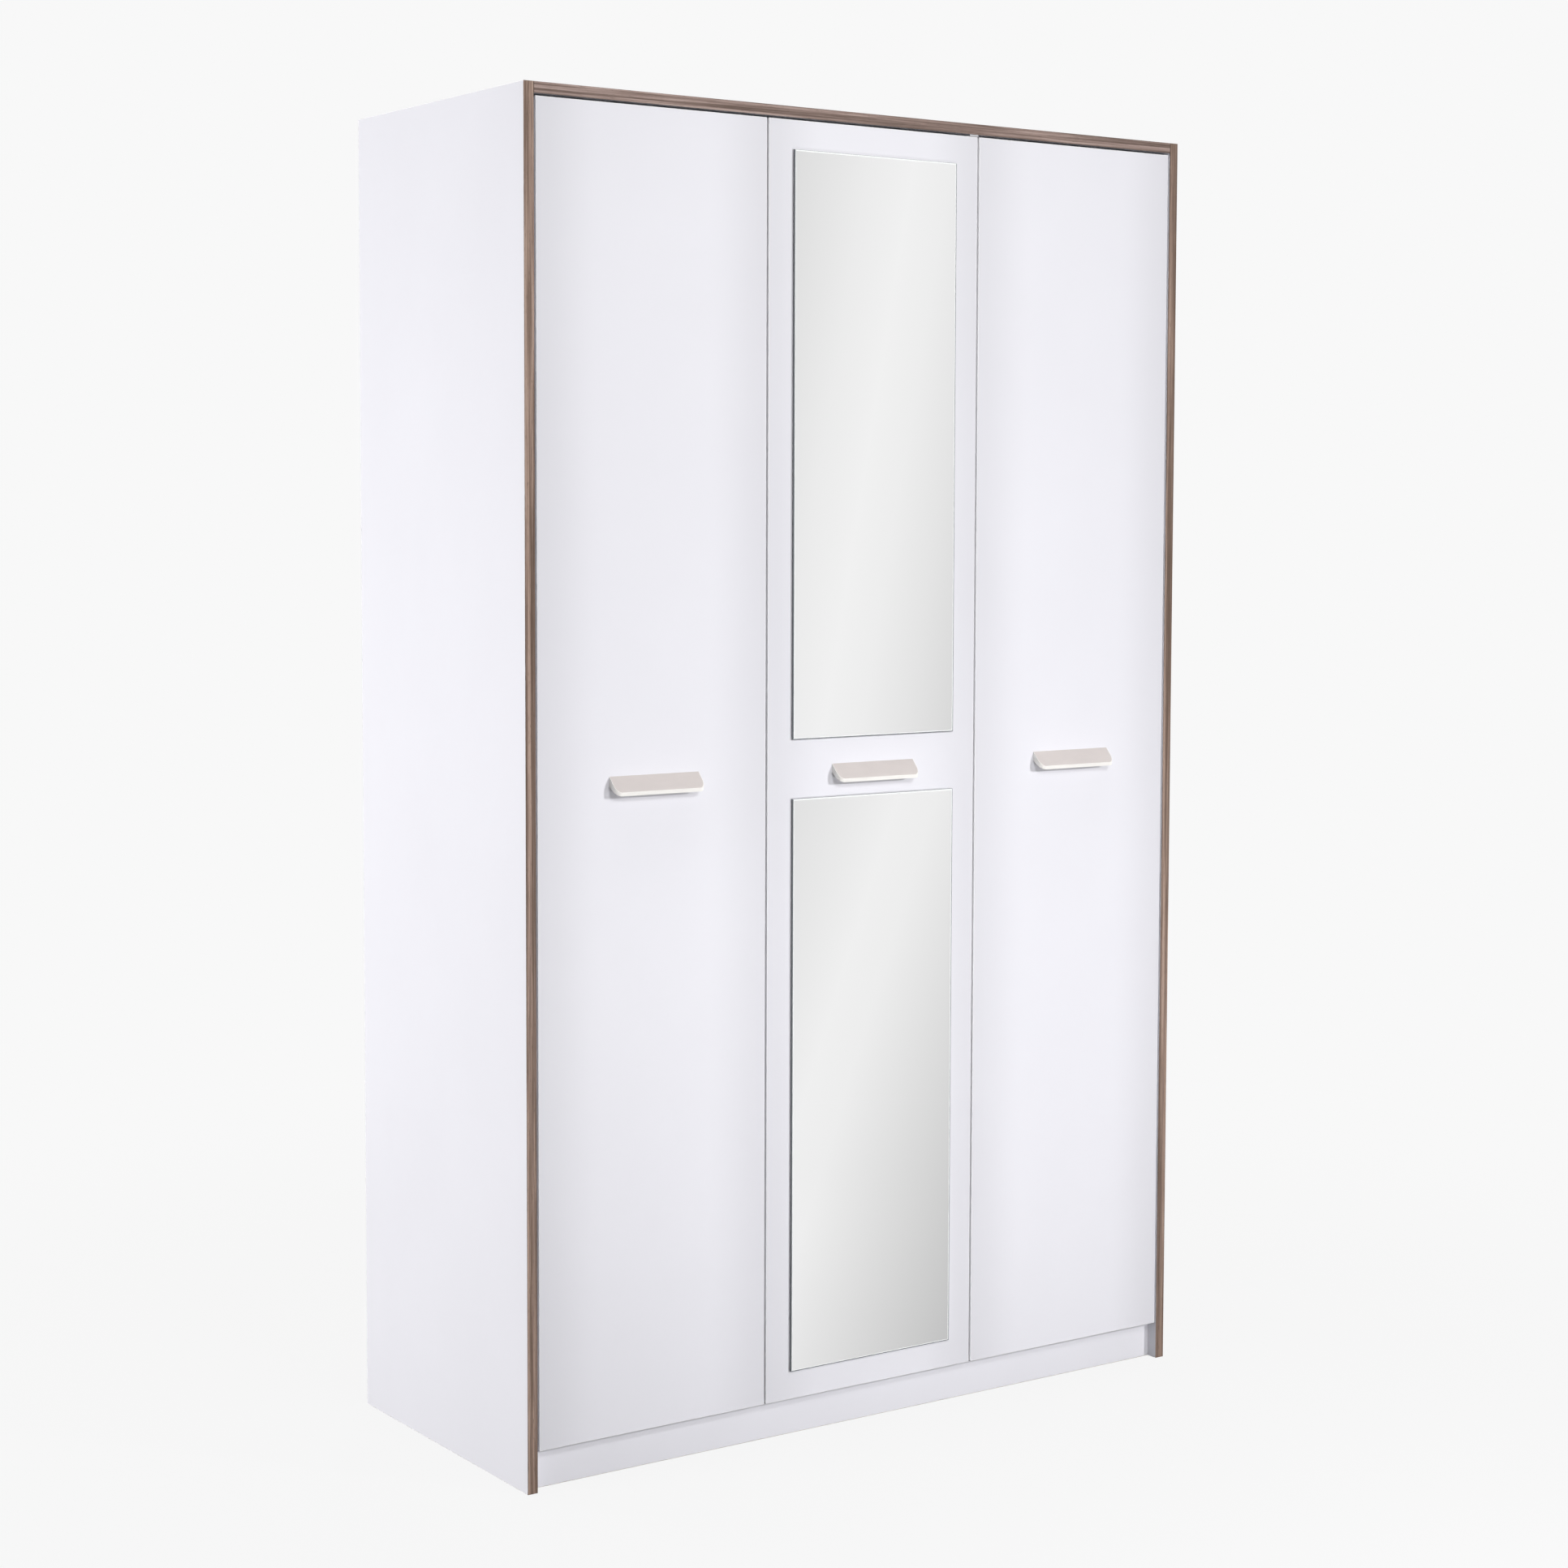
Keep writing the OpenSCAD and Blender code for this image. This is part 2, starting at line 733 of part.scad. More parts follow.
// Moulded pull: a sloping hood, hollow behind for the fingertips, with two screw bosses
module handle(door) {
  slope = handle_slope_drop / handle_depth;
  deep = 2 * handle_h;
  color(PLASTIC_CREAM) translate([door_x[door] + door_w / 2, door_y, handle_top]) difference() {
    union() {
      difference() {
        handle_outside();
        intersection() {
          translate([0, 0, -deep]) linear_extrude(deep + 1) {
            handle_plan(handle_wall);
            translate([handle_wall - handle_w / 2, -1]) square([handle_w - 2 * handle_wall, 2]);
          }
          handle_profile([
            [1, slope - handle_roof],
            [-handle_depth, -handle_slope_drop - handle_roof],
            [-handle_depth, -deep],
            [1, -deep]
          ]);
        }
      }
      intersection() {
        handle_outside();
        for (side = [-1, 1])
          translate([side * handle_pitch / 2, -handle_depth, -handle_screw_drop]) rod_y(handle_depth, boss_r);
      }
    }
    for (side = [-1, 1])
      translate([side * handle_pitch / 2, -handle_bore_l, -handle_screw_drop])
        rod_y(handle_bore_l + 1, handle_screw_r + fit);
  }
}

module handle_screws(door) {
  color(STEEL) at_handle_screws(door) {
    translate([0, 0.3 - handle_bore_l, 0]) rod_y(handle_bore_l - 0.3 + door_t, handle_screw_r);
    translate([0, door_t, 0]) rod_y(2.2, 4);
  }
}

// A mirror glass, 0 for the lower and 1 for the upper one
module mirror_glass(level) {
  color(MIRROR) translate([mirror_x, mirror_y, mirror_z[level]]) cube([mirror_w, glass_t, mirror_h]);
}

// Three strips of double-sided tape behind each mirror
module mirror_tape() {
  color(FOAM)
    for (z = mirror_z, k = [0:2])
      translate([
        mirror_x + tape_inset + k * (mirror_w - 2 * tape_inset - tape_w) / 2,
        door_y - tape_t,
        z + tape_inset
      ])
        cube([tape_w, tape_t, mirror_h - 2 * tape_inset]);
}

left_side();
right_side();
top_panel();
bottom_panel();
plinth();
partition();
left_edge_band();
right_edge_band();
top_edge_band();
back_panel_left();
back_panel_right();
hat_shelf();
loose_shelf(1);  // shelf_1
loose_shelf(2);  // shelf_2
loose_shelf(3);  // shelf_3
loose_shelf(4);  // shelf_4
shelf_pins();
hanging_rail();
rail_sockets();
rail_screws();
cam_bolts();
cam_locks();
cam_caps();
dowels();
back_nails();
hinge_arms();
hinge_plates();
hinge_plate_screws();
hinge_arm_screws();
door_bumpers();
top_spacer();
door_panel(0);  // door_left
hinge_cups(0);  // hinge_cups_left
hinge_pins(0);  // hinge_pins_left
cup_screws(0);  // cup_screws_left
handle(0);  // handle_left
handle_screws(0);  // handle_screws_left
door_panel(1);  // door_middle
hinge_cups(1);  // hinge_cups_middle
hinge_pins(1);  // hinge_pins_middle
cup_screws(1);  // cup_screws_middle
handle(1);  // handle_middle
handle_screws(1);  // handle_screws_middle
mirror_glass(1);  // mirror_upper
mirror_glass(0);  // mirror_lower
mirror_tape();
door_panel(2);  // door_right
hinge_cups(2);  // hinge_cups_right
hinge_pins(2);  // hinge_pins_right
cup_screws(2);  // cup_screws_right
handle(2);  // handle_right
handle_screws(2);  // handle_screws_right
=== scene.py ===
"""Looks of a three-door wardrobe, laid over its CAD frame.

White melamine boards, wood-grain edge bands, two mirrors and moulded handles.
"""
import json
import math

import bmesh
import bpy
from mathutils import Matrix, Vector


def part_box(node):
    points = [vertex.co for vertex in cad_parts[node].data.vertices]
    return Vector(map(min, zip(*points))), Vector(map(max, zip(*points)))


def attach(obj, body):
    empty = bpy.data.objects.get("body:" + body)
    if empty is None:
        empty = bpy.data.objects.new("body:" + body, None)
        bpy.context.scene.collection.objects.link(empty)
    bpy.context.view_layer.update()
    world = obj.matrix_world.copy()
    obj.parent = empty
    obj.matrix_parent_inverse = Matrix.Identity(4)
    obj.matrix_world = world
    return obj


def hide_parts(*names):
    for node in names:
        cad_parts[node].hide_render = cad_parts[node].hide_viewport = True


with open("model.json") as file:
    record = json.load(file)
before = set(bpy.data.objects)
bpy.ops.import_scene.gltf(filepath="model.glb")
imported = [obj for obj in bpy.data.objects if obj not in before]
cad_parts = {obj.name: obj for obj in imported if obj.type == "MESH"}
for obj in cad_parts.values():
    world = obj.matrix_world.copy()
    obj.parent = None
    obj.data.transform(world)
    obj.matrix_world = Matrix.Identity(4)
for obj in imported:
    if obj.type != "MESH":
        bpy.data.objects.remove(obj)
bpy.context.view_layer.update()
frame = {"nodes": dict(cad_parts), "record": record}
NODES = frame["nodes"]
BODY_OF = {n: b for b, names in frame["record"]["behaviour"]["bodies"].items() for n in names}
SLOT_OF = {n: o.data.materials[0].name for n, o in NODES.items()}
SCENE = bpy.context.scene
DOORS = ("left", "middle", "right")
MM = 0.001
WELD = 2e-6                 # in metres: points nearer than this are one point
FLAT = math.radians(0.4)    # faces that meet at a smaller angle are one flat area
SQUARE_ON = 0.999           # share of its normal along an axis, if a face looks straight that way


# ---------------------------------------------------------------- node helpers

def rgba(colour):
    """A plain colour with its alpha, or a node's output as it is."""
    return (*colour, 1) if isinstance(colour, tuple) else colour


def dim(colour, share):
    return tuple(c * share for c in colour)


class Shader:
    """A material and short calls that add nodes to it."""

    def __init__(self, name):
        self.material = bpy.data.materials.new(name)
        self.material.use_nodes = True
        self.tree = self.material.node_tree
        self.tree.nodes.clear()
        self.out = self.add("ShaderNodeOutputMaterial")
        self.bsdf = self.add("ShaderNodeBsdfPrincipled")
        self.link(self.bsdf.outputs[0], self.out.inputs["Surface"])
        self.place = self.add("ShaderNodeTexCoord").outputs["Object"]

    def add(self, kind, **settings):
        made = self.tree.nodes.new(kind)
        for key, value in settings.items():
            setattr(made, key, value)
        return made

    def link(self, source, target):
        self.tree.links.new(source, target)

    def feed(self, socket, value):
        """Links a node's output to a socket, or sets the socket to a plain value."""
        if isinstance(value, bpy.types.NodeSocket):
            self.link(value, socket)
        else:
            socket.default_value = value

    def scaled(self, scale):
        """Object coordinates, in cells of the texture to the metre along each axis."""
        made = self.add("ShaderNodeMapping")
        made.inputs["Scale"].default_value = scale
        self.link(self.place, made.inputs["Vector"])
        return made.outputs[0]

    def noise(self, scale, detail=2.0, rough=0.5, distort=0.0):
        made = self.add("ShaderNodeTexNoise")
        self.link(self.scaled(scale), made.inputs["Vector"])
        made.inputs["Scale"].default_value = 1
        made.inputs["Detail"].default_value = detail
        made.inputs["Roughness"].default_value = rough
        made.inputs["Distortion"].default_value = distort
        return made.outputs["Fac"]

    def cells(self, scale, feature="F1", out="Distance"):
        made = self.add("ShaderNodeTexVoronoi", feature=feature)
        self.link(self.scaled(scale), made.inputs["Vector"])
        made.inputs["Scale"].default_value = 1
        return made.outputs[out]

    def math(self, kind, a, b=0.0):
        made = self.add("ShaderNodeMath", operation=kind)
        self.feed(made.inputs[0], a)
        self.feed(made.inputs[1], b)
        return made.outputs[0]

    def remap(self, value, low, high, to_low, to_high, smooth=False):
        """Turns low..high into to_low..to_high. What lies outside stops at the ends."""
        kind = "SMOOTHSTEP" if smooth else "LINEAR"
        made = self.add("ShaderNodeMapRange", interpolation_type=kind)
        self.link(value, made.inputs["Value"])
        ends = {"From Min": low, "From Max": high, "To Min": to_low, "To Max": to_high}
        for socket, end in ends.items():
            made.inputs[socket].default_value = end
        return made.outputs[0]

    def ramp(self, value, *stops):
        """Colours by value, each stop a (place, colour)."""
        made = self.add("ShaderNodeValToRGB")
        bar = made.color_ramp.elements
        while len(bar) < len(stops):
            bar.new(0.5)
        for stop, (at, colour) in zip(bar, stops):
            stop.position = at
            stop.color = rgba(colour)
        self.link(value, made.inputs[0])
        return made.outputs[0]

    def mix(self, share, a, b):
        """Colour a, with that share of colour b."""
        made = self.add("ShaderNodeMix", data_type="RGBA")
        # The node has sockets for every data type: 0, 6, 7 and output 2 are those for colour.
        for k, value in ((0, share), (6, rgba(a)), (7, rgba(b))):
            self.feed(made.inputs[k], value)
        return made.outputs[2]

    def axis(self, name):
        made = self.add("ShaderNodeSeparateXYZ")
        self.link(self.place, made.inputs[0])
        return made.outputs[name]

    def bump(self, *layers):
        """Stacks height layers, each (height, strength, distance in metres)."""
        below = None
        for height, strength, distance in layers:
            made = self.add("ShaderNodeBump")
            made.inputs["Strength"].default_value = strength
            made.inputs["Distance"].default_value = distance
            self.link(height, made.inputs["Height"])
            if below is not None:
                self.link(below, made.inputs["Normal"])
            below = made.outputs[0]
        self.link(below, self.bsdf.inputs["Normal"])

    def finish(self, colour, rough, **constants):
        """Sets the shader's own sockets, and returns the material."""
        self.feed(self.bsdf.inputs["Base Color"], rgba(colour))
        self.feed(self.bsdf.inputs["Roughness"], rough)
        for key, value in constants.items():
            self.bsdf.inputs[key.replace("_", " ")].default_value = value
        return self.material


# ---------------------------------------------------------------- materials
# In each recipe, tone is the main colour, and gloss the roughness that the finish varies around.

def white_melamine(name, tone=(0.732, 0.726, 0.771), gloss=0.40, width=None):
    """Satin white paper film under resin: faint clouds, and the soft pearl of the press plate.

    Where width gives a door's two sides, painted shade darkens the film towards them.
    """
    s = Shader(name)
    clouds = s.noise((3.1, 3.1, 2.3), 3, 0.55)
    pearl = s.noise((900, 900, 900))
    ripple = s.noise((60, 60, 60))
    colour = s.mix(s.remap(clouds, 0.35, 0.65, 0, 1), dim(tone, 0.975), tone)
    colour = s.mix(s.remap(pearl, 0.30, 0.70, 0.0, 0.035), colour, dim(tone, 0.9))
    # Painted shade: the film darkens towards the door's two sides.
    if width:
        aside = s.math("ABSOLUTE", s.remap(s.axis("X"), *width, -1, 1))
        painted_shade = s.remap(aside, 0.45, 1.0, 0.0, 0.22, smooth=True)
        colour = s.mix(painted_shade, colour, dim(tone, 0.5))
    rough = s.math("ADD", s.remap(ripple, 0.3, 0.7, gloss - 0.03, gloss + 0.03),
                   s.remap(pearl, 0.3, 0.7, -0.03, 0.03))
    s.bump((ripple, 0.10, 0.0004), (pearl, 0.16, 0.0001))
    return s.finish(colour, rough, Specular_IOR_Level=0.42)


def edge_tape(name, tone=(0.845, 0.840, 0.865)):
    """White ABS tape on the boards' narrow faces: fine lines from its extruder."""
    s = Shader(name)
    lines = s.noise((700, 2500, 5))
    mottled = s.noise((25, 25, 6), 3)
    colour = s.mix(s.remap(mottled, 0.3, 0.7, 0, 1), dim(tone, 0.97), tone)
    s.bump((lines, 0.12, 0.0001))
    return s.finish(colour, s.remap(mottled, 0.3, 0.7, 0.27, 0.36), Specular_IOR_Level=0.5)


def raw_chipboard(name):
    """Sawn chipboard, where no tape was needed: straw-coloured chips in darker glue."""
    s = Shader(name)
    chips = (420, 420, 420)
    split = s.add("ShaderNodeSeparateColor")
    s.link(s.cells(chips, out="Color"), split.inputs[0])
    dust = s.noise((1600, 1600, 1600), 3, 0.6)
    edge = s.cells(chips, "DISTANCE_TO_EDGE")
    colour = s.ramp(split.outputs[0],
                    (0.0, (0.30, 0.19, 0.10)),
                    (0.5, (0.47, 0.33, 0.19)),
                    (1.0, (0.62, 0.48, 0.31)))
    colour = s.mix(s.remap(dust, 0.35, 0.65, 0.0, 0.4), colour, (0.38, 0.26, 0.15))
    colour = s.mix(s.remap(edge, 0.0, 0.08, 0.6, 0.0), colour, (0.16, 0.10, 0.05))
    s.bump((edge, 0.5, 0.0004), (dust, 0.4, 0.0002))
    return s.finish(colour, 0.85, Specular_IOR_Level=0.2)


def wood_grain(name, upright, shade):
    """Taupe printed wood on the front bands, multiplied by the colour shade.

    Broad streaks, fine fibres and short pores run along the band.
    """
    s = Shader(name)

    def tinted(*colour):
        return tuple(a * b for a, b in zip(colour, shade))

    def along(across, length):
        return (across, across, length) if upright else (length, across, across)

    broad = s.noise(along(190, 1.9), 3, 0.5, 0.25)
    streak = s.noise(along(460, 7.5), 4, 0.62, 0.35)
    fibre = s.noise(along(2600, 45), 3, 0.6)
    pores = s.noise(along(1700, 90), 2, 0.4, 0.2)
    tone = s.math("ADD", s.remap(broad, 0.34, 0.66, 0.0, 0.56),
                  s.remap(streak, 0.30, 0.70, 0.0, 0.44))
    colour = s.ramp(tone,
                    (0.22, tinted(0.085, 0.054, 0.039)),
                    (0.44, tinted(0.172, 0.118, 0.093)),
                    (0.60, tinted(0.275, 0.196, 0.161)),
                    (0.80, tinted(0.420, 0.317, 0.268)))
    colour = s.mix(s.remap(fibre, 0.35, 0.75, 0.0, 0.26), colour, tinted(0.36, 0.27, 0.23))
    pore = s.remap(pores, 0.62, 0.72, 0.0, 1.0)
    colour = s.mix(s.math("MULTIPLY", pore, 0.65), colour, tinted(0.10, 0.068, 0.052))
    s.bump((s.math("SUBTRACT", 1.0, pore), 0.35, 0.00015), (streak, 0.18, 0.0001))
    return s.finish(colour, s.remap(streak, 0.3, 0.7, 0.42, 0.55), Specular_IOR_Level=0.4)


def hardboard(name):
    """Rear face of the thin back panels: brown pressed fibres, with the odd darker bundle."""
    s = Shader(name)
    felt = s.noise((260, 260, 200), 5, 0.65, 1.2)
    bundles = s.noise((900, 900, 140), 3, 0.6, 0.6)
    clouds = s.noise((4, 4, 3), 3)
    colour = s.ramp(felt,
                    (0.28, (0.235, 0.140, 0.078)),
                    (0.50, (0.330, 0.212, 0.128)),
                    (0.74, (0.440, 0.305, 0.195)))
    colour = s.mix(s.remap(bundles, 0.62, 0.74, 0.0, 0.6), colour, (0.150, 0.085, 0.048))
    colour = s.mix(s.remap(clouds, 0.3, 0.7, 0.0, 0.18), colour, (0.50, 0.36, 0.24))
    s.bump((felt, 0.35, 0.0003), (bundles, 0.25, 0.00015))
    return s.finish(colour, s.remap(felt, 0.3, 0.7, 0.50, 0.68), Specular_IOR_Level=0.35)


def painted_reflection_glass(name, low, high, lean, tones):
    """Mirror glass between the corners low and high. A painted reflection lies in its colour:
    a soft diagonal band where it is lightest.

    lean tilts the diagonal. tones are (place from one side of it to the other, grey).
    """
    s = Shader(name)
    u = s.remap(s.axis("X"), low.x, high.x, 0, 1)
    v = s.remap(s.axis("Z"), low.z, high.z, 0, 1)
    slant = s.math("SUBTRACT", s.math("MULTIPLY", u, lean), v)
    greys = [(at, (grey, grey, grey)) for at, grey in tones]
    # The painted reflection: greys across the diagonal.
    colour = s.ramp(s.remap(slant, -1.0, lean, 0, 1), *greys)
    smear = s.noise((14, 14, 5), 4, 0.6, 0.8)
    return s.finish(colour, s.remap(smear, 0.45, 0.75, 0.015, 0.035), Metallic=1.0)


def glass_edge(name, tone, rough):
    """Edge of the mirror glass, rough-finished or polished. A dark tone serves for its sides and a
    painted shadow line, a white one for a painted highlight.
    """
    s = Shader(name)
    grind = s.noise((900, 900, 60), 3, 0.6)
    colour = s.mix(s.remap(grind, 0.3, 0.7, 0, 1), dim(tone, 0.88), tone)
    s.bump((grind, 0.15, 0.0001))
    return s.finish(colour, s.remap(grind, 0.3, 0.7, rough, rough + 0.12),
                    Specular_IOR_Level=0.7, Coat_Weight=0.6, Coat_Roughness=0.05)


def mirror_paint(name):
    """Grey protective paint on the back of the mirror glass."""
    s = Shader(name)
    spray = s.noise((700, 700, 700), 3, 0.6)
    s.bump((spray, 0.2, 0.0001))
    return s.finish(s.ramp(spray, (0.3, (0.16, 0.17, 0.18)), (0.7, (0.22, 0.23, 0.24))), 0.6)


def moulded(name, tone, gloss):
    """Moulded plastic with the fine spark texture of its tool."""
    s = Shader(name)
    spark = s.noise((5200, 5200, 5200))
    flow = s.noise((26, 60, 60), 3, 0.5, 0.5)
    colour = s.mix(s.remap(flow, 0.3, 0.7, 0, 1), dim(tone, 0.955), tone)
    colour = s.mix(s.remap(spark, 0.35, 0.65, 0.0, 0.05), colour, dim(tone, 0.8))
    s.bump((spark, 0.22, 0.00006), (flow, 0.05, 0.0004))
    return s.finish(colour, s.remap(flow, 0.3, 0.7, gloss - 0.04, gloss + 0.05),
                    Specular_IOR_Level=0.5)


def metal(name, tone, gloss, scratch=(900, 900, 25), spots=0.0):
    """Plated steel: brushed or drawn marks, dull patches, and spots where the plating is thin."""
    s = Shader(name)
    drawn = s.noise(scratch, 3, 0.6)
    patch = s.noise((110, 110, 110), 4, 0.6, 0.6)
    colour = s.mix(s.remap(patch, 0.35, 0.70, 0.0, 1.0), tone, dim(tone, 0.82))
    if spots:
        dark = s.noise((1400, 1400, 1400))
        colour = s.mix(s.remap(dark, 0.60, 0.75, 0.0, spots), colour, dim(tone, 0.45))
    rough = s.math("ADD", s.remap(patch, 0.3, 0.7, gloss - 0.04, gloss + 0.08),
                   s.remap(drawn, 0.3, 0.7, -0.03, 0.05))
    s.bump((drawn, 0.12, 0.00008))
    return s.finish(colour, rough, Metallic=1.0)


def beech(name):
    """Beech dowels: warm, with short rays."""
    s = Shader(name)
    grain = s.noise((60, 900, 900), 4, 0.6, 0.4)
    rays = s.noise((420, 2400, 2400))
    colour = s.ramp(grain, (0.3, (0.50, 0.32, 0.17)), (0.7, (0.68, 0.48, 0.29)))
    colour = s.mix(s.remap(rays, 0.62, 0.72, 0.0, 0.5), colour, (0.36, 0.21, 0.10))
    s.bump((grain, 0.3, 0.0002))
    return s.finish(colour, 0.62)


def soft_rubber(name):
    """Clear soft pads: milky, with tiny bubbles."""
    s = Shader(name)
    bubbles = s.cells((2600, 2600, 2600))
    haze = s.noise((500, 500, 500))
    colour = s.mix(s.remap(haze, 0.3, 0.7, 0, 1), (0.72, 0.74, 0.74), (0.82, 0.83, 0.83))
    s.bump((bubbles, 0.1, 0.0001))
    return s.finish(colour, s.remap(haze, 0.3, 0.7, 0.18, 0.30),
                    Transmission_Weight=0.35, IOR=1.45)


def foam(name):
    """Grey foam tape: open cells."""
    s = Shader(name)
    cell = s.cells((3000, 3000, 3000))
    colour = s.ramp(cell, (0.0, (0.03, 0.03, 0.035)), (0.6, (0.09, 0.09, 0.10)))
    s.bump((cell, 0.6, 0.0002))
    return s.finish(colour, 0.9)


WHITE = white_melamine("board_face")
TAPE = edge_tape("board_tape")
CHIP = raw_chipboard("board_core")
# Both bands are one print. Their tints are painted light: the level band's lighter, bluer tint is a
# painted sheen.
GRAIN_UP = wood_grain("band_grain_upright", True, (0.90, 0.875, 0.845))
GRAIN_LEVEL = wood_grain("band_grain_level", False, (0.93, 0.945, 1.01))
# The same prints made darker: painted shade on the bands' arrises and narrow faces, most on the
# level band's.
GRAIN_UP_SHADED_ARRIS = wood_grain("band_arris_upright_painted_shade", True, (0.62, 0.60, 0.57))
GRAIN_LEVEL_SHADED_ARRIS = wood_grain("band_arris_level_painted_shade", False, (0.50, 0.50, 0.52))
BACK_WHITE = white_melamine("back_inner", (0.79, 0.785, 0.775), 0.5)
BACK_BROWN = hardboard("back_outer")
HANDLE_RIM = moulded("handle_rim", (0.800, 0.780, 0.755), 0.34)
# The sloping face: the rim's plastic in painted shade, darker and warmer.
HANDLE_FACE_SHADED = moulded("handle_face_painted_shade", (0.552, 0.506, 0.492), 0.42)
CAP = moulded("cam_cap", (0.84, 0.84, 0.85), 0.38)
SPACER = moulded("top_spacer", (0.50, 0.50, 0.52), 0.45)
ZINC = metal("zinc", (0.62, 0.63, 0.65), 0.34, spots=0.25)
NICKEL = metal("nickel", (0.74, 0.72, 0.69), 0.22)
CHROME = metal("chrome", (0.80, 0.81, 0.82), 0.08, (12, 900, 900))
BEECH = beech("beech")
PAD = soft_rubber("pad")
FOAM = foam("foam")
# Dark for the glass's sides and a painted shadow line round each mirror; white for a painted
# highlight.
MIRROR_EDGE_AND_SHADOW = glass_edge("mirror_edge_and_shadow", (0.120, 0.132, 0.145), 0.16)
MIRROR_ARRIS_HIGHLIGHT = glass_edge("mirror_arris_highlight", (0.87, 0.89, 0.89), 0.05)
MIRROR_BACK = mirror_paint("mirror_back")


# ---------------------------------------------------------------- pieces made from CAD nodes
# The wardrobe's front looks along -y, so a box's low.y is its front.

def clean_mesh(node):
    """The node's own mesh, joined up, with flat areas as single faces. Returns a bmesh."""
    bm = bmesh.new()
    bm.from_mesh(NODES[node].data)
    bmesh.ops.remove_doubles(bm, verts=bm.verts, dist=WELD)
    bmesh.ops.dissolve_limit(bm, angle_limit=FLAT, verts=bm.verts, edges=bm.edges)
    return bm


def stand_in(node, bm, materials, sharp=35):
    """Turns the bmesh into the piece that stands for the node.

    It is shaded smooth, except where faces meet at more than sharp degrees.
    """
    for edge in bm.edges:
        bend = edge.calc_face_angle(0)
        edge.smooth = len(edge.link_faces) == 2 and bend < math.radians(sharp)
    for face in bm.faces:
        face.smooth = True
    mesh = bpy.data.meshes.new(node + "_mesh")
    bm.to_mesh(mesh)
    bm.free()
    piece = bpy.data.objects.new(node + "_look", mesh)
    SCENE.collection.objects.link(piece)
    for material in materials:
        mesh.materials.append(material)
    weigh = piece.modifiers.new("even_shading", "WEIGHTED_NORMAL")
    weigh.keep_sharp = True
    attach(piece, BODY_OF[node])
    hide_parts(node)
    return piece


def outer_edges(bm, low, high):
    """Edges along the twelve edges of the node's box: those that lie on two of its walls."""
    def walls(a, b):
        return sum(abs(a[k] - wall) < WELD and abs(b[k] - wall) < WELD
                   for k in range(3) for wall in (low[k], high[k]))

    return [e for e in bm.edges if walls(*(v.co for v in e.verts)) == 2]


def front_edges(bm, low, high):
    """Edges along the four edges of the box's front."""
    return [e for e in outer_edges(bm, low, high)
            if all(abs(v.co.y - low.y) < WELD for v in e.verts)]


def round_off(bm, edges, radius, segments=3):
    """Rounds the edges off, and brings the faces' normals up to date."""
    bmesh.ops.bevel(bm, geom=edges, offset=radius, segments=segments, profile=0.5,
                    affect="EDGES", clamp_overlap=True)
    bm.normal_update()


def ring(bm, faces, width, depth=0.0):
    """Draws the faces in by width, and returns the ring of new faces round them."""
    return bmesh.ops.inset_region(bm, faces=faces, thickness=width, depth=depth,
                                  use_even_offset=True)["faces"]


def at_top(face, high):
    """True in the 2 mm under the top of the node's box, where a ring runs along its top edge."""
    return face.calc_center_median().z > high.z - 2 * MM


def board(node, face=None, raw=(), radius=0.7 * MM):
    """A flat board: film on its broad faces, tape on its narrow ones, core where raw says so.

    raw holds the bare sides as signed axes, such as '+y' for the rear edge. What isn't on the
    outside of the board's box, such as the walls of its holes, is bare core too.
    """
    film, tape, core = range(3)
    low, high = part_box(node)
    bm = clean_mesh(node)
    size = high - low
    thin = min(range(3), key=lambda k: size[k])
    round_off(bm, outer_edges(bm, low, high), radius)
    for f in bm.faces:
        n = f.normal
        major = max(range(3), key=lambda k: abs(n[k]))
        side = ("-" if n[major] < 0 else "+") + "xyz"[major]
        middle = f.calc_center_median()
        outside = min(middle[major] - low[major], high[major] - middle[major]) < radius
        if not outside or side in raw:
            f.material_index = core
        elif major == thin and abs(n[major]) > SQUARE_ON:
            f.material_index = film
        else:
            f.material_index = tape
    return stand_in(node, bm, (face or WHITE, TAPE, CHIP))


def band(node, upright):
    """A front edge band, its long arrises trimmed. Arrises and narrow faces carry painted shade,
    darker than its face.
    """
    low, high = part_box(node)
    bm = clean_mesh(node)
    round_off(bm, front_edges(bm, low, high), radius=0.6 * MM)
    for f in bm.faces:
        # All but the front takes the darker print: painted shade.
        f.material_index = 0 if abs(f.normal.y) > SQUARE_ON else 1
    looks = (GRAIN_UP, GRAIN_UP_SHADED_ARRIS) if upright else (GRAIN_LEVEL, GRAIN_LEVEL_SHADED_ARRIS)
    return stand_in(node, bm, looks)


def back_panel(node):
    """Thin back: white inside, bare brown fibre behind and on its edges."""
    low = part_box(node)[0]
    bm = clean_mesh(node)
    for f in bm.faces:
        inside = f.normal.y < -SQUARE_ON and f.calc_center_median().y < low.y + 0.1 * MM
        f.material_index = 0 if inside else 1
    return stand_in(node, bm, (BACK_WHITE, BACK_BROWN))


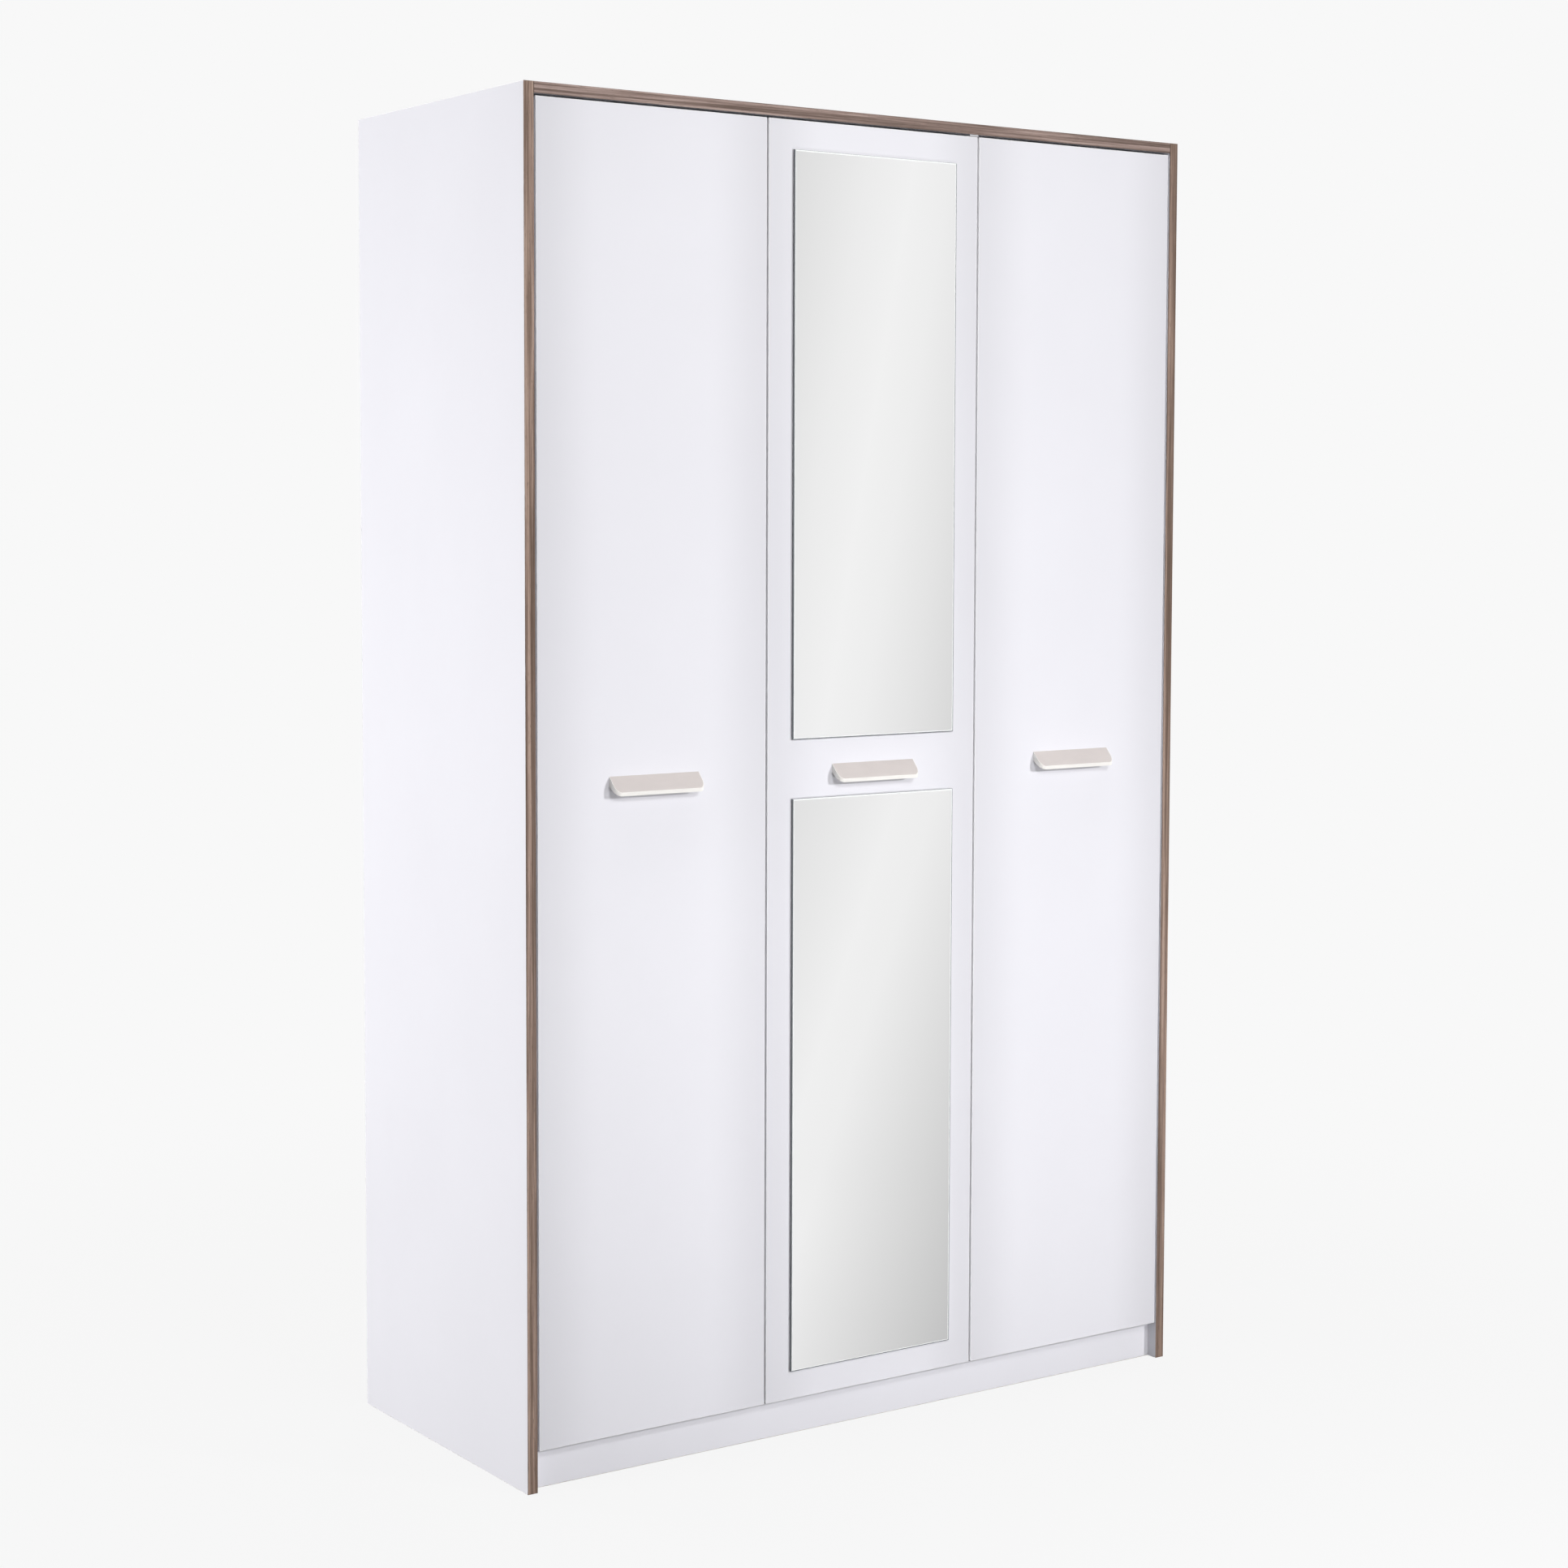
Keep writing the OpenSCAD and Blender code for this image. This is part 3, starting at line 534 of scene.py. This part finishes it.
def mirror(node, lean, tones):
    """Silvered glass. Its sides and a thin ring round its front are dark, the ring being a
    painted shadow line. Inside that, a white ring is a painted highlight along the polished arris.

    Along the top the outer ring is painted as light as the arris. lean and tones go to its
    painted reflection.
    """
    silver, arris, edge_and_shadow, back = range(4)
    low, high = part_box(node)
    bm = clean_mesh(node)
    round_off(bm, front_edges(bm, low, high), radius=0.4 * MM, segments=2)
    for f in bm.faces:
        f.material_index = back if f.normal.y > SQUARE_ON else edge_and_shadow
    glass = [f for f in bm.faces if f.normal.y < -SQUARE_ON]
    painted_edge_ring = ring(bm, glass, width=0.9 * MM)
    highlight_ring = ring(bm, glass, width=1.1 * MM)
    # Outer ring: a painted shadow line, painted light along the top. Inner ring: a painted
    # highlight.
    for f in painted_edge_ring:
        f.material_index = arris if at_top(f, high) else edge_and_shadow
    for f in highlight_ring:
        f.material_index = arris
    for f in glass:
        f.material_index = silver
    look = painted_reflection_glass(node + "_painted_reflection", low, high, lean, tones)
    return stand_in(node, bm, (look, MIRROR_ARRIS_HIGHLIGHT, MIRROR_EDGE_AND_SHADOW, MIRROR_BACK), sharp=12)


def handle(node):
    """Moulded pull. Its sloping face carries painted shade: darker and warmer than the rim round it
    and the nose.
    """
    rim, face = range(2)
    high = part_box(node)[1]
    bm = clean_mesh(node)
    tilted, large = 0.3, 100 * MM ** 2
    slope = [f for f in bm.faces
             if f.normal.z > tilted and f.normal.y < -tilted and f.calc_area() > large]
    for f in bm.faces:
        f.material_index = rim
    rim_ring = ring(bm, slope, width=0.7 * MM)
    lip = ring(bm, slope, width=0.25 * MM, depth=-0.15 * MM)
    # The sloping face, its lip and the rim's top strip take the painted shade.
    for f in slope + lip + [f for f in rim_ring if at_top(f, high)]:
        f.material_index = face
    return stand_in(node, bm, (HANDLE_RIM, HANDLE_FACE_SHADED))


board("left_side", raw=("+y", "-z"))
board("right_side", raw=("+y", "-z"))
board("top_panel", raw=("+y", "-x", "+x"), radius=0.3 * MM)
board("bottom_panel", raw=("+y", "-x", "+x"))
board("plinth", raw=("-x", "+x", "-z"), radius=1.5 * MM)
board("partition", raw=("+y", "-z", "+z"))
board("hat_shelf", raw=("+y", "-x", "+x"))
for k in range(1, 5):
    board(f"shelf_{k}", raw=("+y",))
for door in DOORS:
    low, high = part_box(f"door_{door}")
    # Each door's film carries painted shade towards its two sides.
    film = white_melamine(f"door_{door}_face", width=(low.x, high.x))
    board(f"door_{door}", film, radius=1.2 * MM)

band("left_edge_band", True)
band("right_edge_band", True)
band("top_edge_band", False)
back_panel("back_panel_left")
back_panel("back_panel_right")
# Each mirror's painted reflection: the lean of its diagonal, and greys across it.
mirror("mirror_upper", 1.8,
       ((0.0, 0.77), (0.29, 0.89), (0.47, 0.936), (0.62, 0.905), (0.80, 0.83), (1.0, 0.73)))
mirror("mirror_lower", 0.9,
       ((0.0, 0.80), (0.18, 0.87), (0.31, 0.925), (0.43, 0.905), (0.70, 0.75), (1.0, 0.58)))
for door in DOORS:
    handle(f"handle_{door}")


# ---------------------------------------------------------------- CAD nodes that keep their shape

KEPT = {
    "zinc_steel": ZINC,
    "nickel_steel": NICKEL,
    "chrome": CHROME,
    "cap_plastic": CAP,
    "beech": BEECH,
    "soft_pad": PAD,
    "foam_tape": FOAM,
}
for name, node in NODES.items():
    look = KEPT.get(SLOT_OF[name])
    if look is not None:
        for slot in node.material_slots:
            slot.material = SPACER if name == "top_spacer" else look


# ---------------------------------------------------------------- floor and backdrop

PAPER = 0.939           # brightness of the even backdrop
NEAR_GLOW = 0.945       # share of it that the floor near the wardrobe gives off itself
FADE = (0.9, 2.6)       # metres from the middle, over which the floor becomes backdrop


def paper(name):
    """Pale seamless paper. Near the wardrobe it takes soft shadows, and further off it is even."""
    s = Shader(name)
    away = s.add("ShaderNodeVectorMath", operation="LENGTH")
    s.link(s.place, away.inputs[0])
    far = s.remap(away.outputs["Value"], *FADE, 0.0, 1.0, smooth=True)
    fibre = s.noise((900, 900, 900))
    matt = s.ramp(fibre, (0.3, (0.028, 0.028, 0.028)), (0.7, (0.032, 0.032, 0.032)))
    s.finish(matt, 0.9, Specular_IOR_Level=0.0)
    glow, backdrop = s.add("ShaderNodeEmission"), s.add("ShaderNodeEmission")
    glow.inputs["Strength"].default_value = PAPER * NEAR_GLOW
    backdrop.inputs["Strength"].default_value = PAPER
    near, whole = s.add("ShaderNodeAddShader"), s.add("ShaderNodeMixShader")
    s.link(s.bsdf.outputs[0], near.inputs[0])
    s.link(glow.outputs[0], near.inputs[1])
    s.link(far, whole.inputs[0])
    s.link(near.outputs[0], whole.inputs[1])
    s.link(backdrop.outputs[0], whole.inputs[2])
    s.link(whole.outputs[0], s.out.inputs["Surface"])
    return s.material


floor_mesh = bpy.data.meshes.new("floor_mesh")
floor_bm = bmesh.new()
bmesh.ops.create_circle(floor_bm, cap_ends=True, radius=60, segments=96)
floor_bm.to_mesh(floor_mesh)
floor_bm.free()
floor_mesh.materials.append(paper("paper"))
floor = bpy.data.objects.new("floor", floor_mesh)
SCENE.collection.objects.link(floor)
floor.visible_diffuse = False

world = bpy.data.worlds.new("studio")
SCENE.world = world
world.use_nodes = True
background = world.node_tree.nodes["Background"]
background.inputs["Color"].default_value = (1, 1, 1, 1)
background.inputs["Strength"].default_value = PAPER
world.cycles_visibility.diffuse = False


# ---------------------------------------------------------------- lamps
# Floor and world only show and reflect. These alone light the wardrobe, and their strengths
# were fitted to the brightness of its boards in the photo.

def soft_light(name, place, target, size, watts, tint=(1, 1, 1)):
    """A softbox that lights the wardrobe, and that neither camera nor mirrors see."""
    data = bpy.data.lights.new(name, "AREA")
    data.shape = "RECTANGLE"
    data.size, data.size_y = size
    data.energy = watts
    data.color = tint
    made = bpy.data.objects.new(name, data)
    made.location = place
    made.rotation_euler = (Vector(target) - Vector(place)).to_track_quat("-Z", "Y").to_euler()
    made.visible_glossy = False
    made.visible_camera = False
    SCENE.collection.objects.link(made)


# The doors: a hard key from the front right, and three fills close to the front
soft_light("key", (2.6, -4.6, 2.05), (0, 0, 1.0), (0.45, 0.45), 159)
soft_light("over_front", (-0.45, -2.6, 2.1), (-0.3, 0, 1.4), (0.5, 0.4), 26)
soft_light("front_high", (-0.05, -0.95, 2.02), (-0.05, 0, 1.6), (0.8, 0.4), 0.45,
           (0.98, 1.0, 0.86))
soft_light("front_low", (0.1, -1.7, 0.45), (0, 0, 0.3), (1.3, 0.3), 11.5)
# The two sides and the top
soft_light("left", (-4.2, 0.25, 1.7), (-0.6, 0, 1.0), (2.0, 2.0), 105)
soft_light("left_low", (-3.0, 0.4, 0.45), (-0.6, 0.1, 0.5), (1.0, 1.0), 24)
soft_light("right", (4.2, 0.3, 1.1), (0.6, 0, 0.9), (2.0, 2.0), 84)
soft_light("top", (0, 0.1, 4.5), (0, 0.1, 0), (2.5, 2.5), 80)
# The back, which the photo doesn't show
soft_light("back_left", (-2.6, 4.4, 2.2), (0, 0, 1.0), (1.5, 1.5), 110)
soft_light("back_right", (2.6, 4.4, 2.2), (0, 0, 1.0), (1.5, 1.5), 110)


# ---------------------------------------------------------------- camera
# Its lens, place and yaw come from the photo's perspective. The photo's own vertical shift is
# larger: part of it became pitch, so that the other views keep the wardrobe's top.

CAMERA_PLACE = Vector((-2.582, -3.752, 1.400))
YAW, PITCH, ROLL = (math.radians(a) for a in (34.59, -3.96, 0.17))

camera_data = bpy.data.cameras.new("camera")
camera = bpy.data.objects.new("camera", camera_data)
camera_data.sensor_width = 36
camera_data.lens = 66.45
camera_data.shift_y = -0.05
camera_data.clip_end = 200
forward = Vector((math.sin(YAW) * math.cos(PITCH), math.cos(YAW) * math.cos(PITCH),
                  math.sin(PITCH)))
level = Vector((math.cos(YAW), -math.sin(YAW), 0))
upward = level.cross(forward)
right = level * math.cos(ROLL) + upward * math.sin(ROLL)
top = upward * math.cos(ROLL) - level * math.sin(ROLL)
camera.matrix_world = Matrix((*zip(right, top, -forward, CAMERA_PLACE), (0, 0, 0, 1)))
SCENE.collection.objects.link(camera)
SCENE.camera = camera
SCENE.view_settings.view_transform = "Standard"
